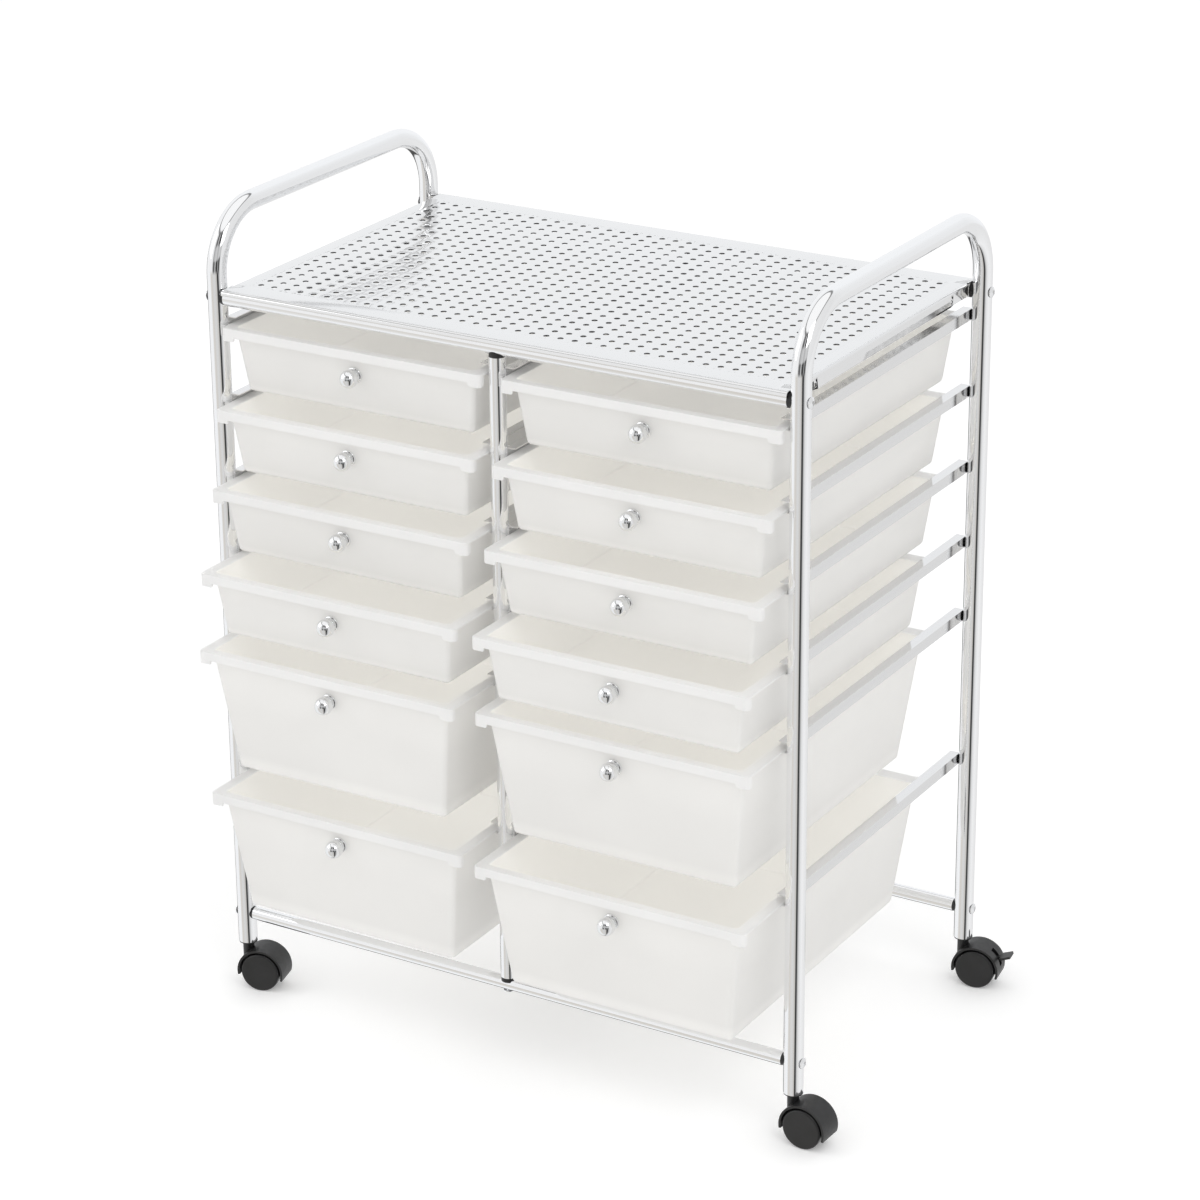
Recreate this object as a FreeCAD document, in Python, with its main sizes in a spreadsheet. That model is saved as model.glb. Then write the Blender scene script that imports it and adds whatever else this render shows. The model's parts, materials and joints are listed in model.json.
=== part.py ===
import FreeCAD, Part

import os
import re

import Sketcher
from FreeCAD import Rotation, Vector

# Rolling storage cart with two columns of drawers, in millimetres and degrees.
# While it is built, x = 0 and y = 0 lie on the axis of the front left post and z = 0 on the floor;
# +X runs to the right, +Y to the rear. The origin then moves to the middle of the cart's footprint.

doc = FreeCAD.newDocument("storage_cart")
sheet = doc.addObject("Spreadsheet::Sheet", "Sizes")

SIZES = {
    # side frames, each one bent tube
    "tube_diameter": 19,
    "tube_wall": 1.2,
    "frame_span": 621,
    "frame_depth": 364,
    "handle_rise": 79.3,
    "handle_bend": 60,
    # cross tubes and centre posts
    "top_tube_diameter": 16,
    "bottom_tube_diameter": 13.5,
    "bottom_tube_rise": 32,
    "centre_post_diameter": 16,
    "inner_tube_wall": 1,
    # saddle plugs in the ends of those tubes
    "plug_collar": 1.2,
    "plug_saddle": 3.4,
    "plug_step": 0.4,
    "plug_length": 12,
    # screws of the frame
    "screw_diameter": 5.8,
    "screw_clearance": 0.2,
    "screw_bite": 10,
    "screw_head_diameter": 11,
    "screw_head_height": 2.4,
    "screw_head_rim": 0.6,
    "socket_width": 4,
    "socket_depth": 1.3,
    # rails
    "rail_height": 11,
    "rail_width": 10,
    "rail_sheet": 1,
    "top_rail_drop": 23.9,
    # top shelf
    "shelf_sheet": 0.8,
    "shelf_side_gap": 0.5,
    "shelf_skirt": 9,
    "shelf_flange": 13,
    "shelf_flange_end": 2,
    "shelf_bend": 2.4,
    "shelf_hole": 4,
    "shelf_hole_drop": 8.5,
    "shelf_hole_inset": 54,
    "grid_hole": 5.8,
    "grid_pitch": 45,
    "grid_columns": 12,
    "grid_rows": 8,
    # drawers
    "rim_play": 1.5,
    "rim_lift": 0.3,
    "rim_thickness": 2.4,
    "rim_width": 13.5,
    "rear_rim_width": 14,
    "rim_corner": 9,
    "tray_length": 382,
    "small_tray_depth": 64.2,
    "deep_tray_depth": 126.2,
    "small_tray_gap": 12.6,
    "deep_tray_gap": 26.7,
    "lowest_tray_gap": 27.25,
    "tray_wall": 2,
    "wall_draft": 7.2,
    "tray_corner": 13,
    "tray_edge": 8,
    "lip_height": 9.5,
    "lip_thickness": 2,
    "tab_width": 15,
    "tab_height": 14.5,
    "tab_gap": 0.2,
    # knobs
    "knob_diameter": 18,
    "knob_projection": 19,
    "knob_drop": 26,
    "knob_collar_diameter": 14,
    "knob_screw_diameter": 4,
    "knob_screw_bite": 8,
    "knob_screw_head": 8,
    "knob_screw_head_height": 2,
    "knob_hole_clearance": 0.5,
    # casters
    "caster_height": 49.5,
    "caster_trail": 16.3,
    "caster_width": 29,
    "wheel_diameter": 40,
    "wheel_edge": 2,
    "wheel_face": 2,
    "wheel_rim": 3,
    "wheel_hub": 12,
    "wheel_gap": 0.5,
    "axle_diameter": 6,
    "running_clearance": 0.05,
    "hood_diameter": 48.4,
    "hood_wall": 2.2,
    "hood_inset": 0.8,
    "hood_low_angle": -17,
    "hood_span_angle": 208,
    "web_width": 9,
    "neck_diameter": 11.2,
    "neck_gap": 0.3,
    "stem_diameter": 7.8,
    "stem_depth": 19,
    "stem_rise": 24,
    "insert_flange": 1.2,
    "insert_step": 0.2,
    "insert_length": 26,
    # brake levers of the rear casters
    "lever_pivot_radius": 15,
    "lever_pivot_angle": 34,
    "lever_width": 5.4,
    "lever_slot": 6.4,
    "lever_hub": 6,
    "lever_thickness": 2.4,
    "lever_reach": 12.5,
    "lever_tilt": 20,
    "pedal_width": 14,
    "pedal_length": 11,
    "slot_low_angle": 8,
    "slot_span_angle": 46,
    "slot_depth": 14,
    "pivot_diameter": 3,
    # how the cart stands in the photograph: each drawer's opening from the top down, each caster's turn
    "left_opening_one": 0,
    "left_opening_two": 15,
    "left_opening_three": 28,
    "left_opening_four": 52,
    "left_opening_five": 60,
    "left_opening_six": 52,
    "right_opening_one": 0,
    "right_opening_two": 18,
    "right_opening_three": 34,
    "right_opening_four": 57,
    "right_opening_five": 55,
    "right_opening_six": 62,
    "front_left_turn": 14,
    "front_right_turn": -2,
    "rear_left_turn": 6,
    "rear_right_turn": 9,
    # where the origin lies, set from the finished cart's box
    "origin_x": 0,
    "origin_y": 0,
}

LEVELS = ("one", "two", "three", "four", "five", "six")
SMALL_LEVELS = 4
COLUMNS = ("left", "right")
CORNERS = ("front_left", "front_right", "rear_left", "rear_right")
FULL_TURN = 360

# What follows from the sizes; heights are over the posts' lower ends, as are all that end in rise
WORKED_OUT = {
    "rim_seat": "(rail_height / 2 - rail_sheet - rim_lift - rim_thickness)",
    "low_rail_rise":
        "(bottom_tube_rise + bottom_tube_diameter / 2 + lowest_tray_gap + deep_tray_depth + rim_seat)",
    "deep_pitch": "(deep_tray_depth + deep_tray_gap)",
    "small_pitch": "(small_tray_depth + small_tray_gap)",
    "top_tube_rise": f"(low_rail_rise + deep_pitch + {SMALL_LEVELS} * small_pitch + top_rail_drop)",
    "post_height": "(top_tube_rise + handle_rise)",
    "column_width": "((frame_span - tube_diameter - centre_post_diameter) / 2)",
    "rim_half": "(column_width / 2 - rail_sheet - rim_play)",
    "wall_half": "(rim_half - rim_width)",
    "rear_wall": "(tray_length - rear_rim_width)",
    "pivot_x": "(caster_trail + lever_pivot_radius * cos(lever_pivot_angle))",
    "pivot_z": "(wheel_diameter / 2 + lever_pivot_radius * sin(lever_pivot_angle))",
}

for row, (alias, value) in enumerate(SIZES.items(), start=1):
    sheet.set(f"A{row}", alias.replace("_", " "))
    sheet.set(f"B{row}", str(value))
    sheet.setAlias(f"B{row}", alias)
doc.recompute()
nodes = {}


def in_sheet(expression):
    """The expression with each size's name pointed at its cell, and what is worked out written in full."""
    def written(word):
        if word.group() in WORKED_OUT:
            return in_sheet(WORKED_OUT[word.group()])
        return "Sizes." * (word.group() in SIZES) + word.group()
    return re.sub(r"[a-z_]+", written, expression)


def number(expression):
    """What the expression comes to now."""
    return float(sheet.evalExpression(in_sheet(expression)))


def bind(item, **properties):
    """Hold each property at an expression; x, y and z are the item's place and turn is its angle."""
    paths = {"x": "Placement.Base.x", "y": "Placement.Base.y", "z": "Placement.Base.z",
             "turn": "Placement.Rotation.Angle"}
    for name, expression in properties.items():
        item.setExpression(paths.get(name, name), in_sheet(expression))
    return item


def about(item, axis, angle):
    """Turn an item about an axis through its own origin, by an angle held at an expression."""
    item.Placement.Rotation = Rotation(Vector(*axis), number(angle))
    return bind(item, turn=angle)


def place(item, node, x="0", y="0", z="0"):
    """Name a finished piece and set it in the cart."""
    item.Label = node
    nodes[node] = bind(item, x=f"{x} - origin_x", y=f"{y} - origin_y", z=z)


# Sketches, and the solids that repeat


def new_sketch(body, plane):
    sketch = body.newObject("Sketcher::SketchObject", "Sketch")
    origin_plane = next(item for item in body.Origin.OriginFeatures if item.Role == f"{plane}_Plane")
    sketch.AttachmentSupport = [(origin_plane, "")]
    sketch.MapMode = "FlatFace"
    return sketch


def dimension(sketch, kind, expression, *where):
    """One dimension of a sketch, held at an expression."""
    index = sketch.addConstraint(Sketcher.Constraint(kind, *where, number(expression)))
    sketch.renameConstraint(index, f"{kind}{index}")
    sketch.setExpression(f"Constraints.{kind}{index}", in_sheet(expression))


def hold(sketch, piece, vertex, x, y):
    """Hold one point of a sketch at a place from the sketch's origin."""
    dimension(sketch, "DistanceX", x, -1, 1, piece, vertex)
    dimension(sketch, "DistanceY", y, -1, 1, piece, vertex)


def polygon(sketch, *corners):
    """A closed outline of straight lines."""
    first = sketch.GeometryCount
    points = [Vector(number(x), number(y), 0) for x, y in corners]
    for start, end in zip(points, points[1:] + points[:1]):
        sketch.addGeometry(Part.LineSegment(start, end))
    for index in range(len(corners)):
        following = first + (index + 1) % len(corners)
        sketch.addConstraint(Sketcher.Constraint("Coincident", first + index, 2, following, 1))
    for index, (x, y) in enumerate(corners):
        hold(sketch, first + index, 1, x, y)
    return sketch


def rectangle(sketch, left, right, low, high):
    return polygon(sketch, (left, low), (right, low), (right, high), (left, high))


def circle(sketch, x, y, diameter):
    centre = Vector(number(x), number(y), 0)
    index = sketch.addGeometry(Part.Circle(centre, Vector(0, 0, 1), number(diameter) / 2))
    hold(sketch, index, 3, x, y)
    dimension(sketch, "Diameter", diameter, index)
    return sketch


def new_body(name):
    return doc.addObject("PartDesign::Body", name)


def pad(body, sketch, length, **settings):
    feature = body.newObject("PartDesign::Pad", "Pad")
    feature.Profile = sketch
    for name, setting in settings.items():
        setattr(feature, name, setting)
    return bind(feature, Length=length)


def pocket(body, sketch, length=None, **settings):
    """Cut along the sketch's normal: through all both ways, or one way by a length."""
    feature = body.newObject("PartDesign::Pocket", "Pocket")
    feature.Profile = sketch
    if length is None:
        feature.Type = "ThroughAll"
        feature.Midplane = True
    else:
        bind(feature, Length=length)
    for name, setting in settings.items():
        setattr(feature, name, setting)
    return feature


def grid(body, feature, sketch, columns, rows, pitch):
    """Repeat a feature along both axes of its sketch."""
    pattern = body.newObject("PartDesign::LinearPattern", "Grid")
    pattern.Originals = [feature]
    pattern.Direction = (sketch, ["H_Axis"])
    pattern.Direction2 = (sketch, ["V_Axis"])
    bind(pattern, Occurrences=columns, Length=f"({columns} - 1) * {pitch}")
    bind(pattern, Occurrences2=rows, Length2=f"({rows} - 1) * {pitch}")
    body.Tip = pattern
    return pattern


def fillet(body, radius, wanted):
    """Round the edges of the body so far whose middle point and direction pass a test."""
    doc.recompute()
    base = body.Tip
    names = []
    for index, edge in enumerate(base.Shape.Edges, start=1):
        middle = edge.valueAt((edge.FirstParameter + edge.LastParameter) / 2)
        along = edge.tangentAt((edge.FirstParameter + edge.LastParameter) / 2)
        if wanted(middle, along):
            names.append(f"Edge{index}")
    feature = body.newObject("PartDesign::Fillet", "Fillet")
    feature.Base = (base, names)
    return bind(feature, Radius=radius)


def turned(name, *outline):
    """A turned piece: an outline in radius and height, revolved about the Z axis."""
    body = new_body(name)
    sketch = polygon(new_sketch(body, "XZ"), *outline)
    return revolve(body, sketch)


def revolve(body, sketch):
    feature = body.newObject("PartDesign::Revolution", "Revolution")
    feature.Profile = sketch
    feature.ReferenceAxis = (sketch, ["V_Axis"])
    feature.Angle = FULL_TURN
    return body


def cylinder(name, radius, height, x="0", y="0", z="0"):
    return bind(doc.addObject("Part::Cylinder", name), Radius=radius, Height=height, x=x, y=y, z=z)


def box(name, length, width, height, x="0", y="0", z="0"):
    item = doc.addObject("Part::Box", name)
    return bind(item, Length=length, Width=width, Height=height, x=x, y=y, z=z)


def joined(name, *pieces):
    item = doc.addObject("Part::MultiFuse", name)
    item.Shapes = pieces
    item.Refine = True
    return item


def cut(name, base, *tools):
    item = doc.addObject("Part::Cut", name)
    item.Base = base
    item.Tool = tools[0] if len(tools) == 1 else joined(f"{name}_tools", *tools)
    return item


def group(name, pieces):
    """Separate solids kept together."""
    item = doc.addObject("Part::Compound", name)
    item.Links = pieces
    return item


# Side frames: one tube bent into post, handle and post, with the screws' holes through both walls


def side_frame(node, x):
    body = new_body(node)
    profile = circle(new_sketch(body, "XY"), "0", "0", "tube_diameter")
    circle(profile, "0", "0", "tube_diameter - 2 * tube_wall")
    path = new_sketch(body, "YZ")
    height, depth, bend = number("post_height"), number("frame_depth"), number("handle_bend")
    front_foot, front_shoulder = Vector(0, 0, 0), Vector(0, height - bend, 0)
    front_top, rear_top = Vector(bend, height, 0), Vector(depth - bend, height, 0)
    rear_shoulder, rear_foot = Vector(depth, height - bend, 0), Vector(depth, 0, 0)
    rise = bend * 2 ** -0.5
    front_middle = Vector(bend - rise, height - bend + rise, 0)
    rear_middle = Vector(depth - bend + rise, height - bend + rise, 0)
    path.addGeometry(Part.LineSegment(front_foot, front_shoulder))
    path.addGeometry(Part.ArcOfCircle(front_shoulder, front_middle, front_top))
    path.addGeometry(Part.LineSegment(front_top, rear_top))
    path.addGeometry(Part.ArcOfCircle(rear_top, rear_middle, rear_shoulder))
    path.addGeometry(Part.LineSegment(rear_shoulder, rear_foot))
    # an arc runs anticlockwise, so each of these two starts where the frame's path leaves it
    for first, first_end, second, second_end in ((0, 2, 1, 2), (1, 1, 2, 1), (2, 2, 3, 2), (3, 1, 4, 1)):
        path.addConstraint(Sketcher.Constraint("Coincident", first, first_end, second, second_end))
    hold(path, 0, 1, "0", "0")
    hold(path, 0, 2, "0", "post_height - handle_bend")
    hold(path, 2, 1, "handle_bend", "post_height")
    hold(path, 2, 2, "frame_depth - handle_bend", "post_height")
    hold(path, 4, 1, "frame_depth", "post_height - handle_bend")
    hold(path, 4, 2, "frame_depth", "0")
    for arc in (1, 3):
        dimension(path, "Radius", "handle_bend", arc)
    tube = body.newObject("PartDesign::AdditivePipe", "Tube")
    tube.Profile = profile
    tube.Spine = (path, [])
    holes = new_sketch(body, "YZ")
    for y in ("0", "frame_depth"):
        for z in ("bottom_tube_rise", "top_tube_rise"):
            circle(holes, y, z, "screw_diameter + 2 * screw_clearance")
    pocket(body, holes)
    place(body, node, x=x, z="caster_height")


# Cross tubes and centre posts, square-ended, with holes for the screws that hold the centre posts


def straight_tube(name, plane, diameter, length):
    body = new_body(name)
    sketch = circle(new_sketch(body, plane), "0", "0", diameter)
    circle(sketch, "0", "0", f"{diameter} - 2 * inner_tube_wall")
    pad(body, sketch, length)
    return body


def cross_tube(node, level, y):
    length = "(frame_span - tube_diameter - 2 * plug_collar)"
    body = straight_tube(node, "YZ", f"{level}_tube_diameter", length)
    hole = circle(new_sketch(body, "XY"), f"{length} / 2", "0", "screw_diameter + 2 * screw_clearance")
    pocket(body, hole)
    if level == "top":
        # the upper wall lets the screw's head in, so that the shelf lies flat on the tube
        wide = "screw_head_diameter + 2 * screw_clearance"
        mouth = circle(new_sketch(body, "XY"), f"{length} / 2", "0", wide)
        pocket(body, mouth, "top_tube_diameter", Reversed=True)
    place(body, node, x="tube_diameter / 2 + plug_collar", y=y, z=f"caster_height + {level}_tube_rise")


def centre_post(node, y):
    foot = "bottom_tube_rise + bottom_tube_diameter / 2 + plug_collar"
    length = f"top_tube_rise - top_tube_diameter / 2 - plug_collar - ({foot})"
    body = straight_tube(node, "XY", "centre_post_diameter", length)
    place(body, node, x="frame_span / 2", y=y, z=f"caster_height + {foot}")


# A saddle plug sits in a tube's end and fills the space to the round tube that the end meets


def saddle_plug(name, tube, neighbour, axis, angle, x, y, z):
    """A plug at the end of a tube; its own +Z points into that tube and z = 0 is the tube's end."""
    collar = cylinder(f"{name}_collar", f"{tube} / 2 - plug_step", "plug_collar + plug_saddle",
                      z="-plug_collar - plug_saddle")
    shank = cylinder(f"{name}_shank", f"{tube} / 2 - inner_tube_wall - running_clearance", "plug_length")
    bore = cylinder(f"{name}_bore", "screw_diameter / 2 + running_clearance",
                    "plug_collar + plug_saddle + plug_length + 2", z="-plug_collar - plug_saddle - 1")
    saddle = cylinder(f"{name}_saddle", f"{neighbour} / 2", f"2 * {tube}",
                      x=f"-{tube}", z=f"-plug_collar - {neighbour} / 2")
    saddle.Placement.Rotation = Rotation(Vector(0, 1, 0), 90)
    plug = cut(name, joined(f"{name}_blank", collar, shank), bore, saddle)
    plug.Placement.Rotation = Rotation(Vector(*axis), angle)
    return bind(plug, x=x, y=y, z=z)


def tube_end_plugs():
    plugs = []
    for y in ("0", "frame_depth"):
        row = "front" if y == "0" else "rear"
        for level in ("bottom", "top"):
            height = f"{level}_tube_rise"
            end = "tube_diameter / 2 + plug_collar"
            for side, angle, x in (("left", 90, end), ("right", -90, f"frame_span - ({end})")):
                plugs.append(saddle_plug(f"{row}_{level}_{side}_plug", f"{level}_tube_diameter",
                                         "tube_diameter", (0, 1, 0), angle, x, y, height))
        plugs.append(saddle_plug(f"{row}_foot_plug", "centre_post_diameter", "bottom_tube_diameter",
                                 (0, 0, 1), 0, "frame_span / 2", y,
                                 "bottom_tube_rise + bottom_tube_diameter / 2 + plug_collar"))
        plugs.append(saddle_plug(f"{row}_head_plug", "centre_post_diameter", "top_tube_diameter",
                                 (1, 0, 0), 180, "frame_span / 2", y,
                                 "top_tube_rise - top_tube_diameter / 2 - plug_collar"))
    place(group("tube_end_plugs", plugs), "tube_end_plugs", z="caster_height")


# Button-head screws: through each post into a cross tube's plug, through a cross tube into a centre post's


def button_screw(name, grip, axis, angle, x, y, z):
    """A screw whose own +Z points from its tip to its head, with z = 0 under the head."""
    body = new_body(name)
    length = f"{grip} + plug_collar + screw_bite"
    sketch = new_sketch(body, "XZ")
    corners = (("0", f"-({length})"), ("screw_diameter / 2", f"-({length})"), ("screw_diameter / 2", "0"),
               ("screw_head_diameter / 2", "0"), ("screw_head_diameter / 2", "screw_head_rim"),
               ("0", "screw_head_height"))
    points = [Vector(number(across), number(up), 0) for across, up in corners]
    reach, dome = points[4].x, points[5].y - points[4].y
    crown = (reach ** 2 + dome ** 2) / (2 * dome)
    middle = Vector(reach / 2, points[5].y - crown + (crown ** 2 - reach ** 2 / 4) ** 0.5, 0)
    for start, end in zip(points[:4], points[1:5]):
        sketch.addGeometry(Part.LineSegment(start, end))
    sketch.addGeometry(Part.ArcOfCircle(points[4], middle, points[5]))
    sketch.addGeometry(Part.LineSegment(points[5], points[0]))
    joints = ((0, 2, 1, 1), (1, 2, 2, 1), (2, 2, 3, 1), (3, 2, 4, 1), (4, 2, 5, 1), (5, 2, 0, 1))
    for first, first_end, second, second_end in joints:
        sketch.addConstraint(Sketcher.Constraint("Coincident", first, first_end, second, second_end))
    for index, (across, up) in enumerate(corners):
        hold(sketch, index, 1, across, up)
    dimension(sketch, "DistanceX", "0", -1, 1, 4, 3)
    revolve(body, sketch)
    socket = bind(doc.addObject("Part::Prism", f"{name}_socket"), Circumradius="socket_width / sqrt(3)",
                  Height="socket_depth + screw_head_height", z="screw_head_height - socket_depth")
    screw = cut(f"{name}_cut", body, socket)
    screw.Placement.Rotation = Rotation(Vector(*axis), angle)
    return bind(screw, x=x, y=y, z=z)


def frame_screws():
    screws = []
    for y in ("0", "frame_depth"):
        row = "front" if y == "0" else "rear"
        for level in ("bottom", "top"):
            for side, angle, x in (("left", -90, "-tube_diameter / 2"),
                                   ("right", 90, "frame_span + tube_diameter / 2")):
                screws.append(button_screw(f"{row}_{level}_{side}_screw", "tube_diameter",
                                           (0, 1, 0), angle, x, y, f"{level}_tube_rise"))
        screws.append(button_screw(f"{row}_foot_screw", "bottom_tube_diameter", (1, 0, 0), 180,
                                   "frame_span / 2", y, "bottom_tube_rise - bottom_tube_diameter / 2"))
        # inside the top tube a head rests on the round wall by its rim
        seat = "sqrt((top_tube_diameter / 2 - inner_tube_wall) ^ 2 - (screw_head_diameter / 2) ^ 2)"
        screws.append(button_screw(f"{row}_head_screw", f"top_tube_diameter / 2 - {seat}", (0, 0, 1), 0,
                                   "frame_span / 2", y, f"top_tube_rise - {seat}"))
    place(group("frame_screws", screws), "frame_screws", z="caster_height")


# Rails: sheet channels that open towards the drawers, one below the other on each line of posts


def rail_rise(level):
    """How far a rail's middle lies above the posts' lower ends."""
    if level == len(LEVELS) - 1:
        return "low_rail_rise"
    return f"(low_rail_rise + deep_pitch + {SMALL_LEVELS - level} * small_pitch)"


def rails(node, face, inward):
    """Rails whose webs lie on a post's face at x; inward is 1 where the drawers lie towards +X."""
    channels = []
    for level, word in enumerate(LEVELS):
        low = f"{rail_rise(level)} - rail_height / 2"
        left = face if inward > 0 else f"{face} - rail_width"
        inside = f"{face} + rail_sheet" if inward > 0 else f"{face} - rail_width - rail_sheet"
        blank = box(f"{node}_{word}_blank", "rail_width", "frame_depth", "rail_height", x=left, z=low)
        clear_height = "rail_height - 2 * rail_sheet"
        hollow = box(f"{node}_{word}_hollow", "rail_width", "frame_depth + 2", clear_height,
                     x=inside, y="-1", z=f"{low} + rail_sheet")
        channels.append(cut(f"{node}_{word}", blank, hollow))
    place(group(node, channels), node, z="caster_height")


# Top shelf: one sheet folded down at the front and rear over the cross tubes and at both sides between them


def top_shelf():
    body = new_body("top_shelf")
    top = "top_tube_rise + top_tube_diameter / 2 + shelf_sheet"
    width = "frame_span - tube_diameter - 2 * shelf_side_gap"
    front = "-top_tube_diameter / 2 - shelf_sheet"
    rear = "frame_depth + top_tube_diameter / 2 + shelf_sheet"
    foot, ceiling = f"{top} - shelf_skirt", f"{top} - shelf_sheet"
    front_in, rear_in = f"{front} + shelf_sheet", f"{rear} - shelf_sheet"
    side = polygon(new_sketch(body, "YZ"), (front, foot), (front, top), (rear, top), (rear, foot),
                   (rear_in, foot), (rear_in, ceiling), (front_in, ceiling), (front_in, foot))
    pad(body, side, width)
    end = "top_tube_diameter / 2 + shelf_flange_end"
    flanges = new_sketch(body, "XY")
    for left in ("0", f"{width} - shelf_sheet"):
        rectangle(flanges, left, f"{left} + shelf_sheet", end, f"frame_depth - ({end})")
    bind(flanges, **{"AttachmentOffset.Base.z": f"{top} - shelf_flange"})
    pad(body, flanges, "shelf_flange - shelf_sheet / 2", AllowMultiFace=True)
    level = number(top)
    fillet(body, "shelf_bend", lambda middle, along: abs(middle.z - level) < 0.01 and abs(along.x) > 0.99)
    holes = new_sketch(body, "YZ")
    for y in ("shelf_hole_inset", "frame_depth - shelf_hole_inset"):
        circle(holes, y, f"{ceiling} - shelf_hole_drop", "shelf_hole")
    pocket(body, holes)
    # a plain grid stands for the real sheet's, which has three holes for each one here along both sides
    first_x = f"({width}) / 2 - (grid_columns - 1) / 2 * grid_pitch"
    first_y = "frame_depth / 2 - (grid_rows - 1) / 2 * grid_pitch"
    first = circle(new_sketch(body, "XY"), first_x, first_y, "grid_hole")
    bind(first, **{"AttachmentOffset.Base.z": top})
    hole = pocket(body, first, "2 * shelf_sheet")
    grid(body, hole, first, "grid_columns", "grid_rows", "grid_pitch")
    place(body, "top_shelf", x="tube_diameter / 2 + shelf_side_gap", z="caster_height")


# Drawers: a drafted tray hung from a flat rim; in the tray's own frame z = 0 is the rim's top,
# y = 0 the front lip and x = 0 the middle


def slant(body, faces_in):
    """Give the tray's upright walls their draft, about the level of the rim's top."""
    doc.recompute()
    base = body.Tip
    middle = number("(rim_width + rear_wall) / 2")
    tab_foot = -number("tab_height")
    names = []
    for index, face in enumerate(base.Shape.Faces, start=1):
        normal, centre = face.normalAt(0, 0), face.CenterOfMass
        outward = normal.x * centre.x + normal.y * (centre.y - middle)
        if abs(normal.z) < 0.01 and centre.z < tab_foot and (outward < 0) == faces_in:
            names.append(f"Face{index}")
    feature = body.newObject("PartDesign::Draft", "Draft")
    feature.Base = (base, names)
    rim_level = next(item for item in body.Origin.OriginFeatures if item.Role == "XY_Plane")
    feature.NeutralPlane = (rim_level, [""])
    feature.Reversed = not faces_in
    bind(feature, Angle="wall_draft")


def tray(name, depth):
    body = new_body(name)
    outside = rectangle(new_sketch(body, "XY"), "-wall_half", "wall_half", "rim_width", "rear_wall")
    pad(body, outside, depth, Reversed=True)
    rim = rectangle(new_sketch(body, "XY"), "-rim_half", "rim_half", "0", "tray_length")
    pad(body, rim, "rim_thickness", Reversed=True)
    lip = rectangle(new_sketch(body, "XY"), "-rim_half", "rim_half", "0", "lip_thickness")
    pad(body, lip, "lip_height", Reversed=True)
    # a hollow tab under each front corner of the rim stops the drawer at its rail's end
    tab_end = "rim_width - tab_gap"
    tabs = new_sketch(body, "XY")
    hollows = new_sketch(body, "XY")
    for side in ("-rim_half", "rim_half - tab_width"):
        rectangle(tabs, side, f"{side} + tab_width", "0", tab_end)
        rectangle(hollows, f"{side} + lip_thickness", f"{side} + tab_width - lip_thickness",
                  "lip_thickness", f"{tab_end} + 1")
    pad(body, tabs, "tab_height", Reversed=True, AllowMultiFace=True)
    bind(hollows, **{"AttachmentOffset.Base.z": "-rim_thickness"})
    pocket(body, hollows, "tab_height", AllowMultiFace=True)
    inside = rectangle(new_sketch(body, "XY"), "tray_wall - wall_half", "wall_half - tray_wall",
                       "rim_width + tray_wall", "rear_wall - tray_wall")
    pocket(body, inside, f"{depth} - tray_wall")
    # the inner faces lean first, so that the walls are never thinner than tray_wall
    for faces_in in (True, False):
        slant(body, faces_in)
    rim_half, length, lip_in = number("rim_half"), number("tray_length"), number("lip_thickness")
    wall_half, slope, wall = number("wall_half"), number("tan(wall_draft)"), number("tray_wall")
    floor = -number(depth)
    fillet(body, "rim_corner - lip_thickness",
           lambda middle, along: abs(along.z) > 0.999 and abs(abs(middle.x) - rim_half + lip_in) < 0.01
           and abs(middle.y - lip_in) < 0.01)
    fillet(body, "rim_corner",
           lambda middle, along: abs(along.z) > 0.999 and abs(abs(middle.x) - rim_half) < 0.01
           and min(abs(middle.y), abs(middle.y - length)) < 0.01)
    for radius, inward in (("tray_corner - tray_wall", wall), ("tray_corner", 0)):
        fillet(body, radius, lambda middle, along: 0.9 < abs(along.z) < 0.999
               and abs(abs(middle.x) - slope * middle.z - wall_half + inward) < 0.01)
    for radius, upward in (("tray_edge - tray_wall", wall), ("tray_edge", 0)):
        fillet(body, radius, lambda middle, along: abs(middle.z - floor - upward) < 0.01)
    hole = circle(new_sketch(body, "XZ"), "0", "-knob_drop",
                  "knob_screw_diameter + 2 * knob_hole_clearance")
    pocket(body, hole, "rim_width + knob_drop * tan(wall_draft) + 2 * tray_wall")
    return body


# Knobs: a ball on a collar, held by a screw from inside the tray; own +Z points away from the wall,
# and z = 0 is the wall's outer face


def knob_and_screw():
    collar = cylinder("knob_collar", "knob_collar_diameter / 2",
                      "(knob_projection - knob_diameter / 2) / 2")
    ball = bind(doc.addObject("Part::Sphere", "knob_ball"), Radius="knob_diameter / 2",
                z="knob_projection - knob_diameter / 2")
    bore = cylinder("knob_bore", "knob_screw_diameter / 2 + running_clearance",
                    "knob_screw_bite + 0.5", z="0")
    knob = cut("knob", joined("knob_blank", collar, ball), bore)
    inner_face = "-tray_wall * cos(wall_draft)"
    head_end = f"{inner_face} - knob_screw_head_height"
    screw = turned("knob_screw", ("0", head_end), ("knob_screw_head / 2", head_end),
                   ("knob_screw_head / 2", inner_face), ("knob_screw_diameter / 2", inner_face),
                   ("knob_screw_diameter / 2", "knob_screw_bite"), ("0", "knob_screw_bite"))
    return [knob, screw]


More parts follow.
